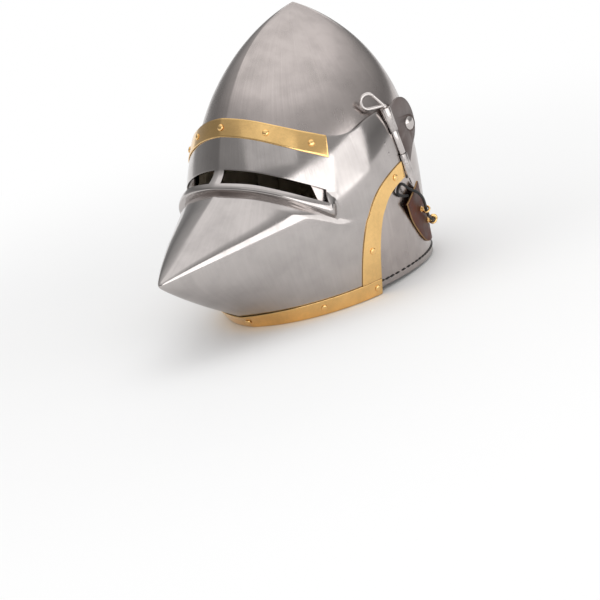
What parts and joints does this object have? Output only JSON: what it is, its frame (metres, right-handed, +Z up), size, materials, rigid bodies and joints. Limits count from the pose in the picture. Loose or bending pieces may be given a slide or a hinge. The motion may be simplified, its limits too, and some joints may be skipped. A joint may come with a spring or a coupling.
{
  "type": "knight helmet",
  "caption": "Pointed steel helmet with a long-snouted lifting visor on side hinges with pull-out pins, brass edging, a laced leather band and a quilted liner.",
  "frame": {"origin": "centre of the helmet's bounding box, at the level of the table that it stands on", "axes": "front is -Y, the wearer's left is +X, up is +Z"},
  "size_m": [0.2568, 0.3952, 0.303],
  "materials": {
    "skull_steel": "brushed, polished",
    "visor_steel": "polished",
    "hinge_steel": "brushed",
    "edging_brass": "brushed",
    "rivet_brass": "polished",
    "vervelle_brass": "worn",
    "leather": "oiled, dark brown",
    "cord": "waxed, black",
    "liner_cloth": "quilted linen",
    "thread": "waxed, black"
  },
  "bodies": {
    "skull": {"skull": "skull_steel", "left_pivot_rivet": "hinge_steel", "right_pivot_rivet": "hinge_steel", "left_pivot_washer": "hinge_steel", "right_pivot_washer": "hinge_steel", "aventail_band": "leather", "vervelles": "vervelle_brass", "vervelle_cord": "cord", "liner": "liner_cloth", "liner_stitching": "thread"},
    "visor": {"visor": "visor_steel", "brow_strip": "edging_brass", "chin_strip": "edging_brass", "left_cheek_strip": "edging_brass", "right_cheek_strip": "edging_brass", "brow_strip_rivets": "rivet_brass", "chin_strip_rivets": "rivet_brass", "left_cheek_rivets": "rivet_brass", "right_cheek_rivets": "rivet_brass", "left_hinge_arm": "hinge_steel", "right_hinge_arm": "hinge_steel", "left_visor_leaf": "hinge_steel", "right_visor_leaf": "hinge_steel", "left_leaf_rivets": "hinge_steel", "right_leaf_rivets": "hinge_steel"},
    "left_pin": {"left_hinge_pin": "hinge_steel"},
    "right_pin": {"right_hinge_pin": "hinge_steel"}
  },
  "joints": [
    {"name": "visor_lift", "type": "hinge", "parent": "skull", "child": "visor", "pos_m": [0, 0.111, 0.158], "axis": [-1, 0, 0], "range_deg": [0, 70]},
    {"name": "left_pin_slide", "type": "slide", "parent": "visor", "child": "left_pin", "axis": [-0.0701, -0.0904, 0.9934], "range_m": [0, 0.092]},
    {"name": "right_pin_slide", "type": "slide", "parent": "visor", "child": "right_pin", "axis": [0.0701, -0.0904, 0.9934], "range_m": [0, 0.092]}
  ]
}
